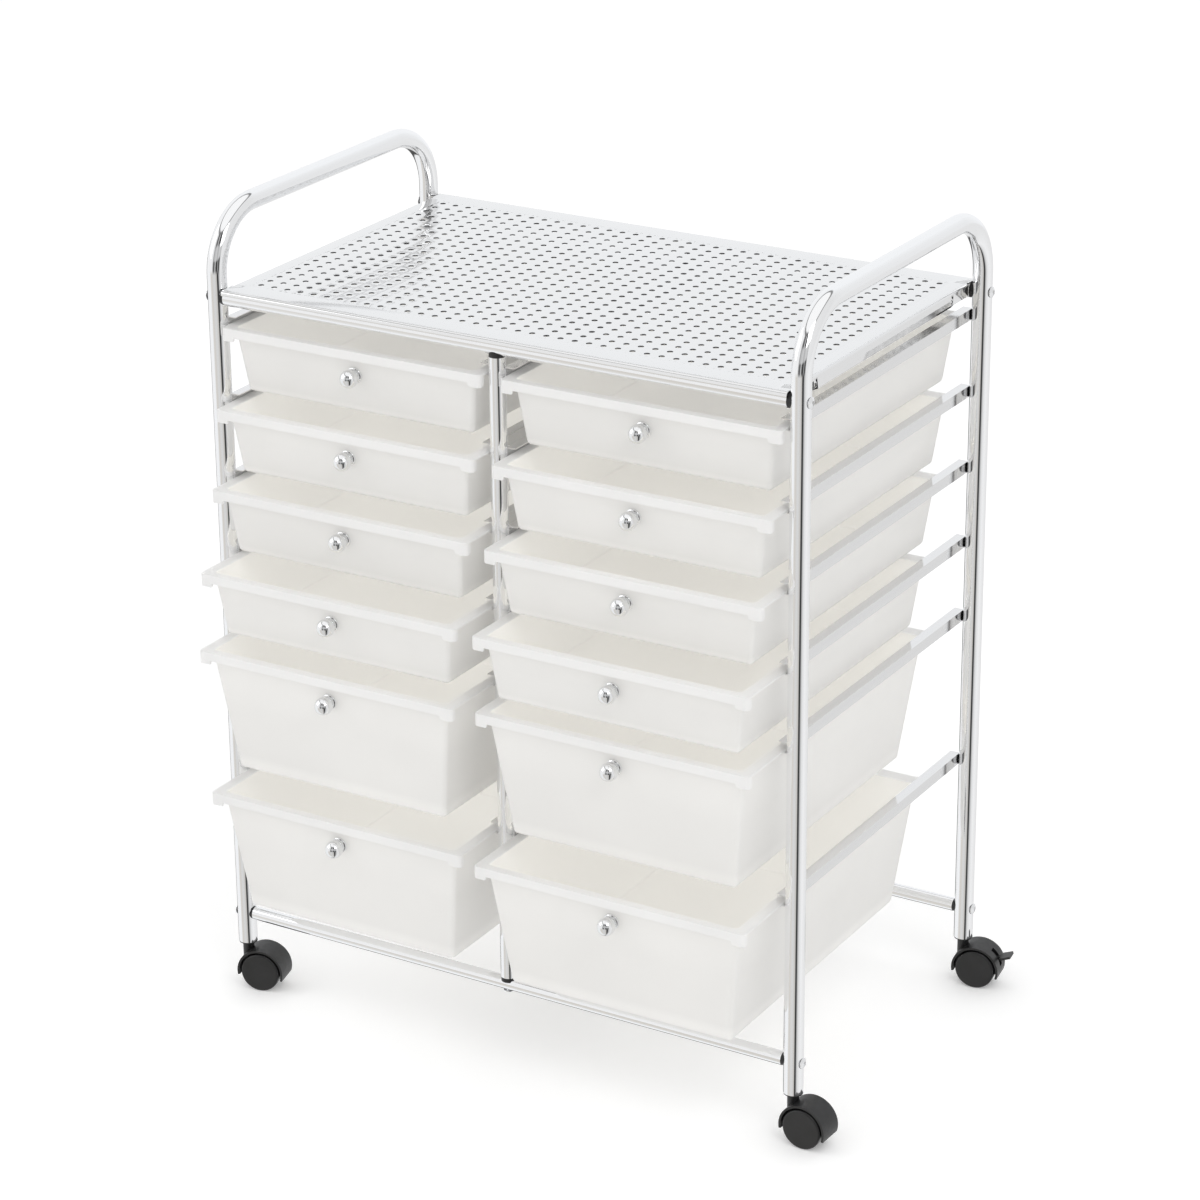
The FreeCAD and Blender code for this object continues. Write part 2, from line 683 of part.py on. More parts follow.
def drawers():
    trays = {"small": tray("small_tray", "small_tray_depth"), "deep": tray("deep_tray", "deep_tray_depth")}
    knob = knob_and_screw()
    column_starts = ("tube_diameter / 2", "(frame_span + centre_post_diameter) / 2")
    for column, column_start in zip(COLUMNS, column_starts):
        for level, word in enumerate(LEVELS):
            kind = "small" if level < SMALL_LEVELS else "deep"
            middle = f"{column_start} + column_width / 2"
            lip = f"-rim_width - {column}_opening_{word}"
            rim_top = f"caster_height + {rail_rise(level)} - rim_seat"
            place(group(f"{column}_{word}_tray", [trays[kind]]), f"{column}_{word}_tray",
                  x=middle, y=lip, z=rim_top)
            knob_here = about(group(f"{column}_{word}_knob", knob), (1, 0, 0), "90 + wall_draft")
            place(knob_here, f"{column}_{word}_knob", x=middle,
                  y=f"{lip} + rim_width + knob_drop * tan(wall_draft)", z=f"{rim_top} - knob_drop")


# Inserts: a flanged sleeve in each post's lower end takes a caster's stem


def post_inserts():
    bore = "stem_diameter / 2 + running_clearance"
    sleeve = "tube_diameter / 2 - tube_wall - running_clearance"
    rim = "tube_diameter / 2 - insert_step"
    insert = turned("insert", (bore, "-insert_flange"), (rim, "-insert_flange"), (rim, "0"), (sleeve, "0"),
                    (sleeve, "insert_length"), (bore, "insert_length"))
    inserts = []
    for corner in CORNERS:
        x, y = post_of(corner)
        inserts.append(bind(group(f"{corner}_insert", [insert]), x=x, y=y))
    place(group("post_inserts", inserts), "post_inserts", z="caster_height")


def post_of(corner):
    """Where a corner's post stands."""
    depth_word, side_word = corner.split("_")
    return ("0" if side_word == "left" else "frame_span", "0" if depth_word == "front" else "frame_depth")


# Casters: in a caster's own frame the stem lies on the Z axis, the wheels trail towards +X
# and z = 0 is the floor


def about_wheel(name, radius, width, angle="360", start="0"):
    """A cylinder, or a sector of one, on the wheels' axis and centred between the wheels."""
    item = cylinder(name, radius, width)
    bind(item, Angle=angle)
    turn = group(f"{name}_start", [item])
    about(turn, (0, 0, 1), start)
    level = group(f"{name}_level", [turn])
    level.Placement.Rotation = Rotation(Vector(1, 0, 0), 90)
    return bind(level, x="caster_trail", y=f"({width}) / 2", z="wheel_diameter / 2")


def caster_housing(name, braked):
    """A hood over both wheels, the web between them and the neck that takes the stem."""
    neck_top = "caster_height - insert_flange - neck_gap"
    hood_radius = "hood_diameter / 2"
    hood_width = "(caster_width - 2 * hood_inset)"
    hood = about_wheel(f"{name}_hood", hood_radius, hood_width, "hood_span_angle", "hood_low_angle")
    neck = cylinder(f"{name}_neck", "neck_diameter / 2", f"{neck_top} - wheel_diameter / 2",
                    z="wheel_diameter / 2")
    tools = []
    side = f"({hood_width} - web_width) / 2"
    for hand, y in (("near", "-web_width / 2"), ("far", f"{hood_width} / 2")):
        well = about_wheel(f"{name}_{hand}_well", f"{hood_radius} - hood_wall", side)
        tools.append(bind(well, y=y))
    shell = cut(f"{name}_shell", joined(f"{name}_blank", hood, neck), *tools)
    boss = about_wheel(f"{name}_boss", "wheel_hub / 2", "web_width")
    stem_bore = cylinder(f"{name}_stem_bore", "stem_diameter / 2 + running_clearance", "stem_depth + 1",
                         z=f"{neck_top} - stem_depth")
    axle_bore = about_wheel(f"{name}_axle_bore", "axle_diameter / 2 + running_clearance", "web_width + 2")
    bores = [stem_bore, axle_bore]
    if braked:
        sector = about_wheel(f"{name}_slot_sector", f"{hood_radius} + 1", "lever_slot",
                             "slot_span_angle", "slot_low_angle")
        core = about_wheel(f"{name}_slot_core", f"{hood_radius} - slot_depth", "lever_slot + 2")
        bores.append(cut(f"{name}_slot", sector, core))
        bores.append(pivot_cylinder(f"{name}_pivot_bore", "pivot_diameter / 2 + running_clearance",
                                    "web_width + 2"))
    return cut(name, joined(f"{name}_body", shell, boss), *bores)


def pivot_cylinder(name, radius, width):
    """A cylinder on the brake lever's pivot, centred between the wheels."""
    item = cylinder(name, radius, width, x="pivot_x", y=f"({width}) / 2", z="pivot_z")
    item.Placement.Rotation = Rotation(Vector(1, 0, 0), 90)
    return item


def caster_pins(name, braked):
    """The stem, the axle and the brake lever's pivot pin."""
    stem = cylinder(f"{name}_stem", "stem_diameter / 2", "stem_depth + neck_gap + insert_flange + stem_rise",
                    z="caster_height - insert_flange - neck_gap - stem_depth")
    axle = about_wheel(f"{name}_axle", "axle_diameter / 2",
                       "caster_width - 2 * wheel_face - 2 * running_clearance")
    pins = [stem, axle]
    if braked:
        pins.append(pivot_cylinder(f"{name}_pivot", "pivot_diameter / 2", "web_width"))
    return group(name, pins)


def caster_wheel():
    """A wheel turned about its own Z axis, with its hollow side at z = 0 and its disc at the far side."""
    width = "(caster_width - web_width) / 2 - wheel_gap"
    radius, hub, axle = "wheel_diameter / 2", "wheel_hub / 2", "axle_diameter / 2 + running_clearance"
    disc = f"{width} - wheel_face"
    body = turned("wheel", (axle, "0"), (hub, "0"), (hub, disc), (f"{radius} - wheel_rim", disc),
                  (f"{radius} - wheel_rim", "0"), (radius, "0"), (radius, width), ("0", width), ("0", disc),
                  (axle, disc))
    reach, side = number(radius), number(width)
    fillet(body, "wheel_edge", lambda middle, along: abs(middle.z - side) < 0.01
           and abs((middle.x ** 2 + middle.y ** 2) ** 0.5 - reach) < 0.01)
    return body


def brake_lever():
    """A hub on the pivot pin, an arm out of the hood's slot and a pedal across its end."""
    hub = cylinder("lever_hub_blank", "lever_hub / 2", "lever_width", y="lever_width / 2")
    hub.Placement.Rotation = Rotation(Vector(1, 0, 0), 90)
    arm = box("lever_arm", "lever_reach + pedal_length / 2", "lever_width", "lever_thickness",
              y="-lever_width / 2", z="-lever_thickness / 2")
    pedal = box("lever_pedal", "pedal_length", "pedal_width", "lever_thickness",
                x="lever_reach", y="-pedal_width / 2", z="-lever_thickness / 2")
    bore = cylinder("lever_bore", "pivot_diameter / 2 + running_clearance", "lever_width + 2",
                    y="lever_width / 2 + 1")
    bore.Placement.Rotation = Rotation(Vector(1, 0, 0), 90)
    lever = cut("lever", joined("lever_blank", hub, arm, pedal), bore)
    about(lever, (0, -1, 0), "lever_tilt")
    return bind(lever, x="pivot_x", z="pivot_z")


def casters():
    housings = {braked: caster_housing(name, braked)
                for name, braked in (("plain_housing", False), ("braked_housing", True))}
    pins = {braked: caster_pins(name, braked)
            for name, braked in (("plain_pins", False), ("braked_pins", True))}
    wheel, lever = caster_wheel(), brake_lever()
    sides = []
    web_side = "(web_width / 2 + wheel_gap)"
    for hand, angle, y in (("near", 90, f"-{web_side}"), ("far", -90, web_side)):
        upright = group(f"{hand}_wheel", [wheel])
        upright.Placement.Rotation = Rotation(Vector(1, 0, 0), angle)
        sides.append((hand, bind(upright, x="caster_trail", y=y, z="wheel_diameter / 2")))
    for corner in CORNERS:
        braked = corner.startswith("rear")
        pieces = [("caster_housing", housings[braked]), ("caster_pins", pins[braked])]
        pieces += [(f"{hand}_wheel", upright) for hand, upright in sides]
        if braked:
            pieces.append(("brake_lever", lever))
        x, y = post_of(corner)
        for word, piece in pieces:
            node = f"{corner}_{word}"
            place(about(group(node, [piece]), (0, 0, 1), f"{corner}_turn"), node, x=x, y=y)


# The whole cart


side_frame("left_side_tube", "0")
side_frame("right_side_tube", "frame_span")
for row, y in (("front", "0"), ("rear", "frame_depth")):
    for level in ("top", "bottom"):
        cross_tube(f"{row}_{level}_tube", level, y)
    centre_post(f"{row}_centre_post", y)
tube_end_plugs()
frame_screws()
centre = "centre_post_diameter / 2"
rails("left_rails", "tube_diameter / 2", 1)
rails("left_centre_rails", f"frame_span / 2 - {centre}", -1)
rails("right_centre_rails", f"frame_span / 2 + {centre}", 1)
rails("right_rails", "frame_span - tube_diameter / 2", -1)
top_shelf()
post_inserts()
drawers()
casters()
doc.recompute()

# The origin moves under the middle of the cart's box
whole = FreeCAD.BoundBox()
for item in nodes.values():
    whole.add(item.Shape.optimalBoundingBox(False))
sheet.set(sheet.getCellFromAlias("origin_x"), str(round(whole.Center.x, 3)))
sheet.set(sheet.getCellFromAlias("origin_y"), str(round(whole.Center.y, 3)))
doc.recompute()

for item in doc.Objects:
    if "Invalid" in item.State or "Error" in item.State:
        raise RuntimeError(f"{item.Label} did not compute: {item.State}")
os.makedirs("parts", exist_ok=True)
for node, item in nodes.items():
    if item.Shape.isNull() or not item.Shape.isValid():
        raise RuntimeError(f"{node} has no sound shape")
    item.Shape.exportStep(f"parts/{node}.step")
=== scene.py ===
import json
from math import cos, pi, radians, sin, tan

import bmesh
import bpy
from mathutils import Matrix, Vector

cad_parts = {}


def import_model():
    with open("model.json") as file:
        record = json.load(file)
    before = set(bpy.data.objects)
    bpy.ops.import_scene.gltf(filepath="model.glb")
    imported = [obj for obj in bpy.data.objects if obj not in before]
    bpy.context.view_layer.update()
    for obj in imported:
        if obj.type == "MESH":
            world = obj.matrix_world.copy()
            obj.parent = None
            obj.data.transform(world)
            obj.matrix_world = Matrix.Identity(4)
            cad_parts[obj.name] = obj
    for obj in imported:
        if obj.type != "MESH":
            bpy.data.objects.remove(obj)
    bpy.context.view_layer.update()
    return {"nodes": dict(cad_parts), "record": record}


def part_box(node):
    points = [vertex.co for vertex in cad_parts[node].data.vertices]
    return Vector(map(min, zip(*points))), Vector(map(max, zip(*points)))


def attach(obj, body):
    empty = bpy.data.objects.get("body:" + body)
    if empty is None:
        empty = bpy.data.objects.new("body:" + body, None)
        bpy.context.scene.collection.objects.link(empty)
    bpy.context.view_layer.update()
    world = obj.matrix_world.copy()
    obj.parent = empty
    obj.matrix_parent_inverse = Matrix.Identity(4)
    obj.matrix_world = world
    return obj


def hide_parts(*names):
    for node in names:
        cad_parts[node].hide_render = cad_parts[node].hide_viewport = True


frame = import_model()
nodes = frame["nodes"]
scene = bpy.context.scene

MM = 0.001
X_AXIS, Y_AXIS, Z_AXIS = Vector((1, 0, 0)), Vector((0, 1, 0)), Vector((0, 0, 1))
LEVELS = ("one", "two", "three", "four", "five", "six")
COLUMNS = ("left", "right")


def box_of(node):
    """The lowest and the highest corner of a CAD node."""
    low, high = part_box(node)
    return Vector(low), Vector(high)


# The left side tube gives the posts' radius and the lower end of the front left post
TUBE_LOW, TUBE_HIGH = box_of("left_side_tube")
TUBE_RADIUS = (TUBE_HIGH.x - TUBE_LOW.x) / 2
FRONT_LEFT_POST = TUBE_LOW + TUBE_RADIUS * (X_AXIS + Y_AXIS)


# Objects and meshes


def linked(item):
    scene.collection.objects.link(item)
    return item


def mesh_object(name, body, slot, node):
    """An empty mesh object that rides on a body, has its slot's material and takes a CAD node's place."""
    item = linked(bpy.data.objects.new(name, bpy.data.meshes.new(name)))
    item.data.materials.append(MATERIALS[slot])
    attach(item, body)
    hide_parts(node)
    return item


def shade_smooth(item):
    for polygon in item.data.polygons:
        polygon.use_smooth = True


def smooth(item, angle):
    """Smooth shading, kept sharp at edges over an angle."""
    shade_smooth(item)
    item.data.set_sharp_from_angle(angle=radians(angle))


def fill_mesh(item, form, angle):
    """Move a finished form into an object, with its faces turned outward and smooth shading."""
    bmesh.ops.recalc_face_normals(form, faces=form.faces)
    form.to_mesh(item.data)
    form.free()
    smooth(item, angle)


def flat_faces_first(item):
    """Give large flat faces their own normal, so that only the narrow faces beside them look round."""
    item.modifiers.new("flat_first", "WEIGHTED_NORMAL").keep_sharp = True


def add_face(form, points):
    form.faces.new([form.verts.new(point) for point in points])


def add_ring(form, centre, radius, first, second, sides):
    """A ring of points round a centre, in the plane of two directions."""
    turns = (2 * pi * index / sides for index in range(sides))
    return [form.verts.new(centre + radius * (cos(turn) * first + sin(turn) * second)) for turn in turns]


def join_rings(form, before, after):
    """The band of faces between two rings of equally many points."""
    pairs = list(zip(before, after))
    return [form.faces.new((low, next_low, next_high, high))
            for (low, high), (next_low, next_high) in zip(pairs, pairs[1:] + pairs[:1])]


# Materials


def new_material(name):
    material = bpy.data.materials.new(name)
    material.use_nodes = True
    tree = material.node_tree
    return material, tree, tree.nodes["Principled BSDF"]


def ramp(tree, source, stops):
    """Turn a value from 0 to 1 into a grey or a colour, by stops of place and grey or colour."""
    node = tree.nodes.new("ShaderNodeValToRGB")
    elements = node.color_ramp.elements
    for index, (place, value) in enumerate(stops):
        element = elements[index] if index < len(elements) else elements.new(place)
        element.position = place
        element.color = (value, value, value, 1) if isinstance(value, float) else (*value, 1)
    tree.links.new(source, node.inputs["Fac"])
    return node.outputs["Color"]


def blended(tree, kind, factor, first, second):
    """Mix two colours by a factor, which is a link or a plain value."""
    node = tree.nodes.new("ShaderNodeMix")
    node.data_type = "RGBA"
    node.blend_type = kind
    if isinstance(factor, float):
        node.inputs["Factor"].default_value = factor
    else:
        tree.links.new(factor, node.inputs["Factor"])
    tree.links.new(first, node.inputs["A"])
    tree.links.new(second, node.inputs["B"])
    return node.outputs["Result"]


def noise(tree, scale, detail):
    """Noise over the object's own coordinates, in metres."""
    coordinates = tree.nodes.new("ShaderNodeTexCoord")
    texture = tree.nodes.new("ShaderNodeTexNoise")
    texture.inputs["Scale"].default_value = scale
    texture.inputs["Detail"].default_value = detail
    tree.links.new(coordinates.outputs["Object"], texture.inputs["Vector"])
    return texture.outputs["Fac"]


def bump(tree, shader, height, strength, distance):
    node = tree.nodes.new("ShaderNodeBump")
    node.inputs["Strength"].default_value = strength
    node.inputs["Distance"].default_value = distance
    tree.links.new(height, node.inputs["Height"])
    tree.links.new(node.outputs["Normal"], shader.inputs["Normal"])


# How deep the plating's slow ripple and the plastics' fine grain are
RIPPLE_DEPTH = 0.6 * MM
GRAIN_DEPTH = 0.2 * MM


def chrome(name, colour, roughness, ripple):
    """Bright plating with faint handling marks and a slight ripple."""
    material, tree, shader = new_material(name)
    shader.inputs["Metallic"].default_value = 1
    shader.inputs["Base Color"].default_value = (*colour, 1)
    marks = ramp(tree, noise(tree, 90, 5), ((0.3, roughness), (0.75, roughness + 0.05)))
    tree.links.new(marks, shader.inputs["Roughness"])
    bump(tree, shader, noise(tree, 14, 1), ripple, RIPPLE_DEPTH)
    return material


def frosted_plastic(name, colour, painted_glow, upright):
    """Translucent plastic: pale and softly see-through, with a fine grain, a painted glow and painted shade
    from foot to rim.
    """
    material, tree, shader = new_material(name)
    dimmer = tuple(0.975 * value for value in colour)
    clouds = ramp(tree, noise(tree, 9, 2), ((0.35, dimmer), (0.65, colour)))
    # Painted shade: the colour is darkened by height over the object's box, from foot to rim, by the given
    # stops
    places = tree.nodes.new("ShaderNodeTexCoord")
    apart = tree.nodes.new("ShaderNodeSeparateXYZ")
    tree.links.new(places.outputs["Generated"], apart.inputs["Vector"])
    painted_shade_colour = ramp(tree, apart.outputs["Z"], upright)
    tree.links.new(blended(tree, "MULTIPLY", 1.0, clouds, painted_shade_colour), shader.inputs["Base Color"])
    shader.inputs["Transmission Weight"].default_value = 0.3
    # Painted light: a faint warm glow, standing in for light that comes through the plastic
    shader.inputs["Emission Color"].default_value = (1, 0.985, 0.955, 1)
    shader.inputs["Emission Strength"].default_value = painted_glow
    shader.inputs["IOR"].default_value = 1.4
    shader.inputs["Specular IOR Level"].default_value = 0.4
    tree.links.new(ramp(tree, noise(tree, 40, 4), ((0.3, 0.42), (0.7, 0.5))), shader.inputs["Roughness"])
    bump(tree, shader, noise(tree, 900, 2), 0.06, GRAIN_DEPTH)
    return material


def black_plastic(name, value, roughness):
    """Moulded black plastic, a little worn in places."""
    material, tree, shader = new_material(name)
    worn = (1.5 * value, 1.5 * value, 1.6 * value)
    tree.links.new(ramp(tree, noise(tree, 60, 4), ((0.35, value), (0.7, worn))), shader.inputs["Base Color"])
    tree.links.new(ramp(tree, noise(tree, 200, 3), ((0.3, roughness), (0.7, roughness + 0.12))),
                   shader.inputs["Roughness"])
    bump(tree, shader, noise(tree, 1500, 2), 0.12, GRAIN_DEPTH)
    return material


# Painted shade on a tray's walls, by height from its foot, at 0, to its rim, at 1: darkest from a little
# above the foot to about the middle, lighter at the foot and near the rim
WALL_PAINTED_SHADE = ((0.0, 1.0), (0.07, 0.99), (0.13, 0.93), (0.55, 0.94), (0.85, 0.99))
# Fainter painted shade for the rim and the inside: only a little darker toward the foot
FAINT_PAINTED_SHADE = ((0.0, 0.97), (1.0, 1.0))
# For each material the function that makes it, and the values it is made with
LOOKS = {
    # Plating: colour, roughness and ripple
    "tube_chrome": (chrome, (0.93, 0.935, 0.945), 0.05, 0.03),
    "rail_chrome": (chrome, (0.82, 0.82, 0.825), 0.09, 0.1),
    "shelf_chrome": (chrome, (0.86, 0.862, 0.866), 0.07, 0.02),
    # Near-black plating for the shelf sheet's cut edges: painted shade, which makes the holes and the curled
    # edges look dark
    "cut_edge_painted_shade": (chrome, (0.12, 0.12, 0.13), 0.3, 0.02),
    "screw_steel": (chrome, (0.86, 0.865, 0.875), 0.14, 0.02),
    "knob_metal": (chrome, (0.88, 0.885, 0.895), 0.06, 0.02),
    "pin_steel": (chrome, (0.55, 0.55, 0.57), 0.25, 0.05),
    # Frosted plastic: colour, painted glow and painted shade
    "frosted_plastic": (frosted_plastic, (0.905, 0.9, 0.888), 0.04, WALL_PAINTED_SHADE),
    # The rim and the inside are lighter copies of the wall's plastic with more glow, as painted light; the
    # inside is the warmest and brightest
    "frosted_rim_painted_light": (frosted_plastic, (0.925, 0.923, 0.918), 0.055, FAINT_PAINTED_SHADE),
    "frosted_inside_painted_light": (frosted_plastic, (0.955, 0.945, 0.915), 0.18, FAINT_PAINTED_SHADE),
    # Black plastic: grey and roughness
    "black_plastic": (black_plastic, 0.012, 0.38),
    "caster_plastic": (black_plastic, 0.012, 0.34),
    "wheel_plastic": (black_plastic, 0.010, 0.30),
}
MATERIALS = {name: make(name, *looks) for name, (make, *looks) in LOOKS.items()}
SLOT_OF = {entry["node"]: entry["material_slot"] for entry in frame["record"]["subparts"]}
for name, item in nodes.items():
    item.data.materials.clear()
    item.data.materials.append(MATERIALS[SLOT_OF[name]])


# Side tubes: one smooth bent tube for each side

HANDLE_BEND = 60 * MM
TUBE_SIDES = 56
BEND_STEPS = 30


def side_tube(side):
    """Sweep a ring along the tube's centre line, which lies in one plane across X."""
    low, high = box_of(f"{side}_side_tube")
    item = mesh_object(f"{side}_side_tube_bent", "frame", "tube_chrome", f"{side}_side_tube")
    x, front, rear = low.x + TUBE_RADIUS, low.y + TUBE_RADIUS, high.y - TUBE_RADIUS
    spring = high.z - TUBE_RADIUS - HANDLE_BEND
    route = [(front, low.z, 0.0)]
    for centre, start in ((front + HANDLE_BEND, 0.0), (rear - HANDLE_BEND, pi / 2)):
        for step in range(BEND_STEPS + 1):
            angle = start + pi / 2 * step / BEND_STEPS
            route.append((centre - HANDLE_BEND * cos(angle), spring + HANDLE_BEND * sin(angle), angle))
    route.append((rear, low.z, pi))
    form = bmesh.new()
    rings = []
    for y, z, angle in route:
        outward = Vector((0, -cos(angle), sin(angle)))
        rings.append(add_ring(form, Vector((x, y, z)), TUBE_RADIUS, outward, X_AXIS, TUBE_SIDES))
    for before, after in zip(rings, rings[1:]):
        join_rings(form, before, after)
    for end in (rings[0], rings[-1]):
        form.faces.new(end)
    fill_mesh(item, form, angle=40)


for side in COLUMNS:
    side_tube(side)


# Top shelf: a folded sheet with a grid of small round holes

SHEET = 1.2 * MM
HOLE_COUNT = (38, 22)
HOLE_PITCH = 15 * MM
HOLE_RADIUS = 2.9 * MM
HOLE_SIDES = 16
# The front and rear edge, rounded and curled back below
ROLL_RADIUS, ROLL_DROP, ROLL_RETURN = 4.2 * MM, 4.6 * MM, 0.8 * MM
ROLL_STEPS = 7
# The flanges at the sides, each with two small holes in square cells
FOLD_RADIUS = 2.4 * MM
FOLD_STEPS = 5
FLANGE_DROP = 13 * MM
FLANGE_START = 19 * MM
FLANGE_HOLE_RADIUS = 2.0 * MM
FLANGE_HOLE_DROP = 9.3 * MM
FLANGE_HOLE_INSET = 54 * MM
FLANGE_CELL = 1.5 * FLANGE_HOLE_RADIUS
WELD_DISTANCE = 0.00002


def add_grid(form, xs, ys, z):
    """Quads over a grid of lines at one height."""
    for x0, x1 in zip(xs, xs[1:]):
        for y0, y1 in zip(ys, ys[1:]):
            add_face(form, [(x, y, z) for x, y in ((x0, y0), (x1, y0), (x1, y1), (x0, y1))])


def add_holed_cell(form, centre, half, radius, first=X_AXIS, second=Y_AXIS):
    """One square cell of sheet round a hole, in the plane of two directions."""
    spokes = []
    for step in range(HOLE_SIDES):
        angle = 2 * pi * (step + 0.5) / HOLE_SIDES + pi / 4 - pi / HOLE_SIDES
        direction = cos(angle) * first + sin(angle) * second
        reach = half / max(abs(cos(angle)), abs(sin(angle)))
        spokes.append([form.verts.new(centre + distance * direction) for distance in (reach, radius)])
    for (outer, inner), (next_outer, next_inner) in zip(spokes, spokes[1:] + spokes[:1]):
        form.faces.new((inner, outer, next_outer, next_inner))


def add_strip(form, start, end, high, low):
    """A piece of flange between two depths below the sheet."""
    add_face(form, [base - Vector((0, 0, fall))
                    for base, fall in ((start, high), (end, high), (end, low), (start, low))])


def add_flange(form, places):
    """The flat of a flange along its places, with a small hole in the second and the fourth stretch."""
    for index, (start, end) in enumerate(zip(places, places[1:])):
        if index % 2 == 0:
            add_strip(form, start, end, FOLD_RADIUS, FLANGE_DROP)
            continue
        middle, half = (start + end) / 2, (end - start).length / 2
        add_strip(form, start, end, FOLD_RADIUS, FLANGE_HOLE_DROP - half)
        add_strip(form, start, end, FLANGE_HOLE_DROP + half, FLANGE_DROP)
        add_holed_cell(form, middle - Vector((0, 0, FLANGE_HOLE_DROP)), half, FLANGE_HOLE_RADIUS,
                       (end - start).normalized(), Z_AXIS)


def add_bends(form, places, outward, profile):
    """Strips along an edge's places, with a profile of points outward and down."""
    for first, second in zip(places, places[1:]):
        for (out0, down0), (out1, down1) in zip(profile, profile[1:]):
            add_face(form, [base + outward * out + Vector((0, 0, down))
                            for base, out, down in ((first, out0, down0), (second, out0, down0),
                                                    (second, out1, down1), (first, out1, down1))])


def quarter_bend(radius, steps):
    """A quarter bend from flat to upright, ending at the edge."""
    turns = (pi / 2 * step / steps for step in range(steps + 1))
    return [(radius * (sin(turn) - 1), -radius * (1 - cos(turn))) for turn in turns]


def add_roll(form, start, end, outward):
    """A rounded front or rear edge, which curls back under the sheet."""
    turns = (pi / 2 * step / ROLL_STEPS for step in range(ROLL_STEPS + 1))
    under = [(-ROLL_RETURN * (1 - cos(turn)), -ROLL_DROP - ROLL_RETURN * sin(turn)) for turn in turns]
    add_bends(form, (start, end), outward, quarter_bend(ROLL_RADIUS, ROLL_STEPS) + under)


def add_fold(form, start, end, outward):
    """A quarter bend and a flange with two small holes, along the edge from start to end."""
    along = (end - start).normalized()
    inset = FLANGE_HOLE_INSET - FLANGE_START
    near, far = inset - FLANGE_CELL, inset + FLANGE_CELL
    places = (start, start + near * along, start + far * along, end - far * along, end - near * along, end)
    add_flange(form, places)
    add_bends(form, places, outward, quarter_bend(FOLD_RADIUS, FOLD_STEPS))


def top_shelf():
    low, high = box_of("top_shelf")
    item = mesh_object("top_shelf_sheet", "frame", "shelf_chrome", "top_shelf")
    z = high.z
    columns, rows = HOLE_COUNT
    middle, half = (low + high) / 2, HOLE_PITCH / 2
    first_x = middle.x - HOLE_PITCH * (columns - 1) / 2
    first_y = middle.y - HOLE_PITCH * (rows - 1) / 2
    form = bmesh.new()
    for column in range(columns):
        for row in range(rows):
            centre = Vector((first_x + column * HOLE_PITCH, first_y + row * HOLE_PITCH, z))
            add_holed_cell(form, centre, half, HOLE_RADIUS)

    # The plain margin round the grid of holes
    grid_low = Vector((first_x - half, first_y - half, z))
    grid_high = Vector((first_x + (columns - 0.5) * HOLE_PITCH, first_y + (rows - 0.5) * HOLE_PITCH, z))
    cell_xs = [grid_low.x + index * half for index in range(2 * columns + 1)]
    edge_low = low + Vector((FOLD_RADIUS, ROLL_RADIUS, 0))
    edge_high = high - Vector((FOLD_RADIUS, ROLL_RADIUS, 0))
    flange_front, flange_rear = low.y + FLANGE_START, high.y - FLANGE_START
    side_ys = sorted((edge_low.y, flange_front, flange_rear, edge_high.y, grid_low.y, grid_high.y))
    add_grid(form, cell_xs, (edge_low.y, grid_low.y), z)
    add_grid(form, cell_xs, (grid_high.y, edge_high.y), z)
    add_grid(form, (edge_low.x, grid_low.x), side_ys, z)
    add_grid(form, (grid_high.x, edge_high.x), side_ys, z)
    for xs in ((low.x, edge_low.x), (edge_high.x, high.x)):
        add_grid(form, xs, (edge_low.y, flange_front), z)
        add_grid(form, xs, (flange_rear, edge_high.y), z)

    # The front and rear edge, then the flanges at the sides
    add_roll(form, Vector((low.x, low.y, z)), Vector((high.x, low.y, z)), -Y_AXIS)
    add_roll(form, Vector((high.x, high.y, z)), Vector((low.x, high.y, z)), Y_AXIS)
    add_fold(form, Vector((low.x, flange_rear, z)), Vector((low.x, flange_front, z)), -X_AXIS)
    add_fold(form, Vector((high.x, flange_front, z)), Vector((high.x, flange_rear, z)), X_AXIS)
    bmesh.ops.remove_doubles(form, verts=form.verts, dist=WELD_DISTANCE)
    fill_mesh(item, form, angle=30)
    thickness = item.modifiers.new("sheet", "SOLIDIFY")
    thickness.thickness = SHEET
    thickness.offset = -1
    # The sheet's cut edges, in the holes too, take the near-black plating: painted shade
    thickness.material_offset_rim = 1
    item.data.materials.append(MATERIALS["cut_edge_painted_shade"])
    flat_faces_first(item)


top_shelf()


# Drawers: trays hung from a flat rim, which has a lip in front and a tab under each front corner

TRAY_FRONT_INSET, TRAY_SIDE_INSET, TRAY_REAR_INSET = 7 * MM, 9.8 * MM, 14 * MM
TRAY_WALL = 2 * MM
WALL_LEAN = radians(7.2)
WALL_CORNER, FOOT_CORNER = 4.5 * MM, 1.5 * MM
WALL_FOOT = 4 * MM
FOOT_STEPS = 4
RIM_CORNER = 3.8 * MM
CORNER_STEPS = 6
RIM_THICKNESS, LIP_THICKNESS = 2.4 * MM, 2 * MM
RIM_DROP, LIP_DROP, TAB_DROP = 2.65 * MM, 9.3 * MM, 13 * MM
TAB_WIDTH, TAB_DEPTH, TAB_ROUND = 13.5 * MM, 6.5 * MM, 2 * MM
TAB_TURNS = (0, pi / 6, pi / 3, pi / 2)
# How far the upright end of a tab leans, and how much higher the lip ends on its inside
TAB_STEP, LIP_RISE = 0.02 * MM, 0.1 * MM
# Rounded edges, and how far in their middle point lies
SOFT_EDGE = 0.9 * MM
SOFT_MIDDLE = 0.3 * SOFT_EDGE


